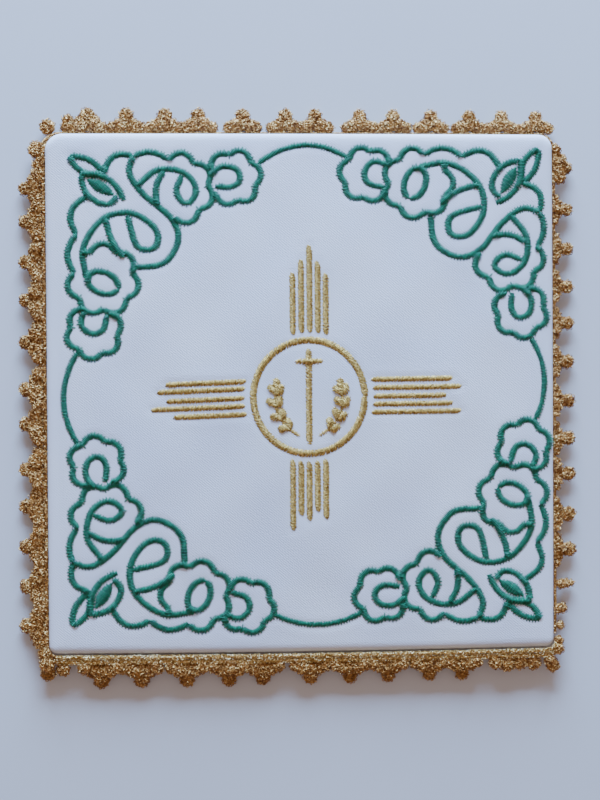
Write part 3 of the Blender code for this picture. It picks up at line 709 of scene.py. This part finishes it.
EDGING_SIDES = (
    # side, (heading's top, width, fall, depth, how much of its width is stitched, gap to the
    # cloth), its picots' knobs, first and last picot's size, their places
    ("right", (4.3, 1.2, 0.5, 2.6, 0.8, -0.2), RIGHT_KNOBS, 1.05, 0.85,
     (30.9, 42.2, 55.1, 66.4, 78.4, 90.9, 103.2, 114.8, 126.8, 139.3, 152.5)),
    ("top", (3.6, 1.3, 0.4, 3.2, 0.4, -0.4), TOP_KNOBS, 0.94, 1.04,
     (4.9, 15.9, 26.3, 38.5, 50.5, 61.1, 75.3, 84.7, 98.2, 112.1, 122.7, 134.7, 146.8)),
    ("left", (4.3, 2.6, 1.0, 1.9, 1.0, -0.2), LEFT_KNOBS, 1.0, 1.16,
     (17.1, 27.4, 40.0, 52.0, 65.2, 79.9, 90.9, 105.1, 116.7, 129.3, 141.8, 154.2)),
    ("bottom", (5.1, 3.4, 0.8, 1.8, 1.0, 0.3), BOTTOM_KNOBS, 1.22, 1.0,
     (16.2, 28.8, 43.2, 56.4, 67.1, 82.2, 94.8, 107.0, 120.2, 130.6)),
)
LUMPS = (  # side number, place along it, out from the cloth, radius: the ends, corners and odd ones
    (0, 1.8, 1.6, 1.7),
    (0, 6.7, 2.2, 1.4),
    (0, 12.1, 2.9, 1.8),
    (0, 12.0, 1.4, 1.7),
    (0, 19.9, 2.6, 1.7),
    (0, 20.0, 4.3, 1.6),
    (0, 20.0, 5.9, 1.2),
    (0, 149.6, 2.2, 2.4),
    (0, 152.5, 3.2, 2.7),
    (0, 155.0, 2.4, 2.4),
    (0, 158.2, 1.2, 1.8),
    (1, 143.6, 1.8, 2.3),
    (1, 145.0, 3.6, 2.7),
    (1, 148.6, 3.6, 2.7),
    (1, 149.4, 1.8, 2.3),
    (1, 153.0, 4.4, 2.0),
    (1, 153.4, 2.0, 2.0),
    (1, 159.2, 2.2, 2.6),
    (2, 5.0, 2.6, 2.8),
    (2, 9.6, 1.8, 2.3),
    (2, 12.8, 2.2, 2.3),
    (2, 162.9, 1.3, 2.2),
    (3, -0.6, 3.4, 2.5),
    (3, -0.4, 6.2, 2.5),
    (3, 4.4, 4.9, 2.3),
    (3, 141.2, 4.6, 2.3),
    (3, 145.0, 5.2, 2.6),
    (3, 149.2, 4.8, 2.5),
    (3, 153.6, 5.0, 2.5),
    (3, 158.6, 4.2, 2.0),
    (3, 159.8, 6.1, 2.3),
    (3, 161.4, 0.8, 1.9),
)
SPANS = (PANEL_HEIGHT, PANEL_WIDTH, PANEL_HEIGHT, PANEL_WIDTH)
EDGING_START = 4.6
EDGING_END = 1.4
HEADING_STEP = 1.5
CORNER_STEPS = 9
HEADING_ROWS = {  # where its rows of stitches run in its width, from -1 to 1
    "right": (0.0,),
    "top": (0.0,),
    "left": (-0.8, 0.0, 0.8),
    "bottom": (-0.9, -0.3, 0.3, 0.9),
}
ROW_HEIGHT = 0.5
HEADING_PITCH = 0.55
CORE_ROWS = (-0.6, 0.6)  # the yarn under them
CORE_HEIGHT = -0.2
CORE_PITCH = 2.0
CORE_RADIUS = 0.55
PICOT_REACH = 5.35
KNOB_ROOT_RISE = 0.4  # a knob at the heading stands this far over the middle of its outer face
TIP_HEIGHT = 1.2
KNOB_SPREAD = (-0.2, 0.4)  # up or down, by chance
KNOB_HALF = 0.75  # half a knob's thickness, without its loops
KNOB_SKIN = 0.15  # how far its loops stand out round it
TABLE_GAP = 0.05
LOWEST_LOOP = 0.55
LOOPS_PER_AREA = 3.2
UPPER_SHARE = 0.8  # of a knob's loops lie on its upper side
GOLDEN_ANGLE = 137.5
LOOP_STRAY = 30  # degrees
LOOP_RADIUS = (0.3, 0.5)
LOOP_SWEEP = 300.0
LOOP_POINTS = 7
LOOP_LEAN = 0.9  # radians
LOOP_TURN = 6.3  # radians: any way round
YARN_RADIUS = 0.15
YARN_SIDES = 3


def side_frame(turn, at):
    """A point on side number turn, at this far from the corner where it starts, and its outward
    direction."""
    side_x, side_y, _ = CORNERS[turn]
    corner = (side_x * PANEL_WIDTH / 2, side_y * PANEL_HEIGHT / 2)
    return shifted(corner, direction(90 + 90 * turn), at), direction(90 * turn)


def corner_frame(turn, degrees):
    """A point on the arc of corner number turn, and its outward direction."""
    side_x, side_y, radius = CORNERS[turn]
    centre = (side_x * (PANEL_WIDTH / 2 - radius), side_y * (PANEL_HEIGHT / 2 - radius))
    out = direction(degrees)
    return shifted(centre, out, radius), out


def knobs(turn):
    """Each knob along a side: its place there, how far it is from the cloth, its radius."""
    _, (_, width, *_), shape, first_size, last_size, places = EDGING_SIDES[turn]
    found = []
    for at in places:
        size = first_size + (last_size - first_size) * at / SPANS[turn]
        found += [(at + s * size, width + u * size, radius * size) for s, u, radius in shape]
    return found + [lump[1:] for lump in LUMPS if lump[0] == turn]


def heading_run(turn):
    """The stretch of the heading that goes with a side: close points along the rim, each with its
    outward direction and the heading's six measures there. A side takes the corner after it."""
    radius = CORNERS[(turn + 1) % 4][2]
    first = EDGING_START if turn == 0 else CORNERS[turn][2]
    last = SPANS[turn] - radius
    here, there = EDGING_SIDES[turn][1], EDGING_SIDES[(turn + 1) % 4][1]
    rows = []
    for at in np.arange(first, last, HEADING_STEP):
        point, out = side_frame(turn, at)
        rows.append((*point, *out, *here))
    sweep = 90.0 if turn < 3 else 90.0 - math.degrees(EDGING_END / radius)
    for share in np.linspace(0, 1, CORNER_STEPS):
        point, out = corner_frame((turn + 1) % 4, 90 * turn + sweep * share)
        mixed = [a + (b - a) * share * (turn < 3) for a, b in zip(here, there)]
        rows.append((*point, *out, *mixed))
    return np.array(rows)


def along_heading(rows, pitch, outward, upward):
    """Points along the heading. outward and upward give their place in the heading's section, from
    -1 to 1."""
    centre = rows[:, :2] + rows[:, 2:4] * rows[:, 5:6] / 2
    lengths = np.concatenate([[0], np.cumsum(np.linalg.norm(np.diff(centre, axis=0), axis=1))])
    at = np.linspace(0, lengths[-1], round(lengths[-1] / pitch))
    x, y, out_x, out_y, top, width, fall, deep, share, gap = (
        np.interp(at, lengths, column) for column in rows.T
    )
    half = (width * share - gap) / 2 - LOOP_RADIUS[0]
    reach = (width * share + gap) / 2 + half * outward
    height = top - fall * reach / width - deep / 2 + (deep / 2 - LOOP_RADIUS[0]) * upward
    x, y = bow_sides(x + out_x * reach, y + out_y * reach)
    return np.stack([x, y, height], 1)


def yarn_loops(middles, chance):
    """A small open loop of yarn at each place, leaning at random."""
    around = np.radians(np.linspace(0, LOOP_SWEEP, LOOP_POINTS))[:, None]
    about = np.radians(np.arange(YARN_SIDES) * 360 / YARN_SIDES)[None]
    last = (LOOP_POINTS - 1) * YARN_SIDES
    sides = [(j, (j + 1) % YARN_SIDES) for j in range(YARN_SIDES)]
    skin = [
        (s + a, s + b, s + b + YARN_SIDES, s + a + YARN_SIDES)
        for s in range(0, last, YARN_SIDES)
        for a, b in sides
    ]
    ends = [tuple(range(YARN_SIDES))[::-1], tuple(last + j for j in range(YARN_SIDES))]
    points, faces = [], []
    for middle in middles:
        reach = chance.uniform(*LOOP_RADIUS) + YARN_RADIUS * np.cos(about)
        rise = YARN_RADIUS * np.sin(about) + 0 * around
        flat = np.stack([reach * np.cos(around), reach * np.sin(around), rise], -1)
        lean = [chance.uniform(-LOOP_LEAN, LOOP_LEAN) for _ in range(2)]
        turned = Euler((*lean, chance.uniform(0, LOOP_TURN)), "ZYX").to_matrix()
        first = len(points) * LOOP_POINTS * YARN_SIDES
        points.append((flat @ np.array(turned).T).reshape(-1, 3) + middle)
        faces += [tuple(first + corner for corner in face) for face in skin + ends]
    mesh = bpy.data.meshes.new("loops")
    mesh.from_pydata((np.concatenate(points) * MM).tolist(), [], faces)
    return mesh


def knob_core(centre, radius):
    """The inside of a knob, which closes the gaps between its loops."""
    made = bmesh.new()
    bmesh.ops.create_icosphere(made, subdivisions=2, radius=1.0)
    scale = Matrix.Diagonal((radius * MM, radius * MM, KNOB_HALF * MM, 1))
    place = Matrix.Translation(Vector(centre) * MM)
    bmesh.ops.transform(made, matrix=place @ scale, verts=made.verts)
    mesh = bpy.data.meshes.new("core")
    made.to_mesh(mesh)
    made.free()
    return mesh


def knob_parts(turn, at, away, radius, chance):
    """A knob's core, and the places of the loops all over it."""
    top, width, fall, deep, *_ = EDGING_SIDES[turn][1]
    root = top - fall - deep / 2 + KNOB_ROOT_RISE
    point, out = side_frame(turn, at)
    x, y = shifted(point, out, away)
    x, y = (float(c) for c in bow_sides(np.array(x), np.array(y)))
    share = min(1.0, max(0.0, away - width) / PICOT_REACH)
    height = root + (TIP_HEIGHT - root) * share + chance.uniform(*KNOB_SPREAD)
    height = max(height, KNOB_HALF + TABLE_GAP)
    core = radius - KNOB_SKIN
    count = round(LOOPS_PER_AREA * math.pi * radius**2)
    middles = []
    for k in range(count):
        reach = math.sqrt((k + 0.5) / count)
        up = KNOB_HALF * math.sqrt(1 - reach**2) * (1 if chance.random() < UPPER_SHARE else -1)
        around = direction(k * GOLDEN_ANGLE + chance.uniform(0, LOOP_STRAY))
        loop_x, loop_y = shifted((x, y), around, reach * core)
        middles.append((loop_x, loop_y, max(height + up, LOWEST_LOOP)))
    return knob_core((x, y, height), core), middles


def tubes(lines, radius):
    """Round cord along each line of points."""
    curve = bpy.data.curves.new("cord", "CURVE")
    curve.dimensions = "3D"
    curve.bevel_depth = radius * MM
    curve.bevel_resolution = 1
    curve.use_fill_caps = True
    for line in lines:
        spline = curve.splines.new("POLY")
        spline.points.add(len(line) - 1)
        places = np.concatenate([line * MM, np.ones((len(line), 1))], 1)
        spline.points.foreach_set("co", places.ravel())
    holder = bpy.data.objects.new("cord", curve)
    mesh = bpy.data.meshes.new_from_object(holder)
    bpy.data.objects.remove(holder)
    bpy.data.curves.remove(curve)
    return mesh


def joined(meshes):
    """Several meshes as one."""
    made = bmesh.new()
    for mesh in meshes:
        made.from_mesh(mesh)
        bpy.data.meshes.remove(mesh)
    whole = bpy.data.meshes.new("joined")
    made.to_mesh(whole)
    made.free()
    return whole


# Crocheted gilt yarn, metallised film round viscose: red gold, broken into small bright and dark
# flats that glitter, as each turn of film takes the light by itself; the flats' colour is also
# painted from dark to bright, cell by cell, as painted glints and painted shade. The bottom
# heading takes a lighter, yellower copy of the yarn, which is painted light.
FILM_SIZE = 0.5  # the film is about 0.3 mm wide, drawn coarser to show
PAINTED_GLINT_STOPS = (0.15, 0.6, 0.95)
FILM_TILT = 0.8  # how far its flats turn from the yarn's surface


def gilt_yarn(name, *colours):
    """Crocheted gilt yarn in these colours: painted shade on its dark flats, painted glints on its
    bright.
    """
    made, tree, shader, place = new_material(name, Metallic=0.35, Roughness=0.42)
    film = add_node(
        tree, "ShaderNodeTexVoronoi", [("Scale", per_metre(FILM_SIZE))], [("Vector", place)]
    )
    # Painted glints and painted shade: each cell of film is coloured from dark to bright.
    painted_glint_ramp = add_node(tree, "ShaderNodeValToRGB", links=[("Fac", film.outputs["Color"])])
    stops = painted_glint_ramp.color_ramp.elements
    stops.new(PAINTED_GLINT_STOPS[1])
    for stop, at, colour in zip(stops, PAINTED_GLINT_STOPS, colours):
        stop.position, stop.color = at, linear(colour)
    facing = add_node(tree, "ShaderNodeNewGeometry").outputs["Normal"]
    half = add_node(
        tree,
        "ShaderNodeVectorMath",
        [(1, (0.5, 0.5, 0.5))],
        [(0, film.outputs["Color"])],
        operation="SUBTRACT",
    )
    spread = add_node(
        tree,
        "ShaderNodeVectorMath",
        [("Scale", FILM_TILT)],
        [(0, half.outputs[0])],
        operation="SCALE",
    )
    tipped = add_node(
        tree, "ShaderNodeVectorMath", links=[(0, facing), (1, spread.outputs[0])], operation="ADD"
    )
    glint = add_node(
        tree, "ShaderNodeVectorMath", links=[(0, tipped.outputs[0])], operation="NORMALIZE"
    )
    tree.links.new(painted_glint_ramp.outputs["Color"], shader.inputs["Base Color"])
    tree.links.new(glint.outputs[0], shader.inputs["Normal"])
    return made


knot_yarn = gilt_yarn("crocheted_gilt_yarn", "#88582A", "#C48C46", "#F2CC86")
# Painted light: a lighter, yellower copy of the yarn, for the bottom heading alone.
lit_bottom_heading_yarn = gilt_yarn("crocheted_gilt_yarn_painted_lit", "#B0823A", "#EEC678", "#FFEDBE")

for turn, (side, *_) in enumerate(EDGING_SIDES):
    cores, middles = [], []
    for at, away, radius in knobs(turn):
        core, places = knob_parts(turn, at, away, radius, chance)
        cores.append(core)
        middles += places
    picots = joined([yarn_loops(middles, chance), *cores])
    make_piece(f"edging_{side}_picots", picots, knot_yarn, "gold_edging", "edging")
    rows = heading_run(turn)
    cords = [along_heading(rows, CORE_PITCH, row, CORE_HEIGHT) for row in CORE_ROWS]
    stitches = [along_heading(rows, HEADING_PITCH, row, ROW_HEIGHT) for row in HEADING_ROWS[side]]
    heading = joined([yarn_loops(np.concatenate(stitches), chance), tubes(cords, CORE_RADIUS)])
    # The bottom heading takes the lighter copy of the yarn, which is painted light.
    thread = lit_bottom_heading_yarn if side == "bottom" else knot_yarn
    make_piece(f"edging_{side}_heading", heading, thread, "gold_edging", "edging")

# The floor is a pale table top. The light is a window's, broad and low beyond the top of the pall
# and a little blue, so the pall and its stitches throw soft shadows towards its foot. The room
# gives the rest, dim and warm.
FLOOR_HALF = 1.5
WINDOW = (0.0, 1.3, 0.34)
WINDOW_SIZE = (0.96, 0.64)
WINDOW_POWER = 112.0
SKY_STRENGTH = 0.42

# Matt paint, rolled on board: a flat pale tone that is hardly uneven.
PAINT_CLOUD = 60.0

floor_mesh = bpy.data.meshes.new("floor")
corners = [(x * FLOOR_HALF, y * FLOOR_HALF, 0) for x, y in ((-1, -1), (1, -1), (1, 1), (-1, 1))]
floor_mesh.from_pydata(corners, [], [(0, 1, 2, 3)])
table_top, tree, shader, place = new_material("painted_table_top", Roughness=0.7)
shade = add_node(
    tree,
    "ShaderNodeTexNoise",
    [("Scale", per_metre(PAINT_CLOUD)), ("Detail", 3.0)],
    [("Vector", place)],
)
paint = add_node(tree, "ShaderNodeValToRGB", links=[("Fac", shade.outputs["Fac"])])
for stop, colour in zip(paint.color_ramp.elements, ("#D2D6DE", "#DADEE6")):
    stop.color = linear(colour)
tree.links.new(paint.outputs["Color"], shader.inputs["Base Color"])
floor_mesh.materials.append(table_top)
floor = bpy.data.objects.new("floor", floor_mesh)
bpy.context.scene.collection.objects.link(floor)

light = bpy.data.lights.new("window", "AREA")
light.shape = "RECTANGLE"
light.size, light.size_y = WINDOW_SIZE
light.energy = WINDOW_POWER
light.color = linear("#A4CCFF")[:3]
window = bpy.data.objects.new("window", light)
window.location = WINDOW
window.rotation_euler = (-Vector(WINDOW)).to_track_quat("-Z", "Y").to_euler()
bpy.context.scene.collection.objects.link(window)

sky = bpy.data.worlds.new("sky")
sky.use_nodes = True
sky.node_tree.nodes["Background"].inputs["Color"].default_value = linear("#FFE3D6")
sky.node_tree.nodes["Background"].inputs["Strength"].default_value = SKY_STRENGTH
bpy.context.scene.world = sky
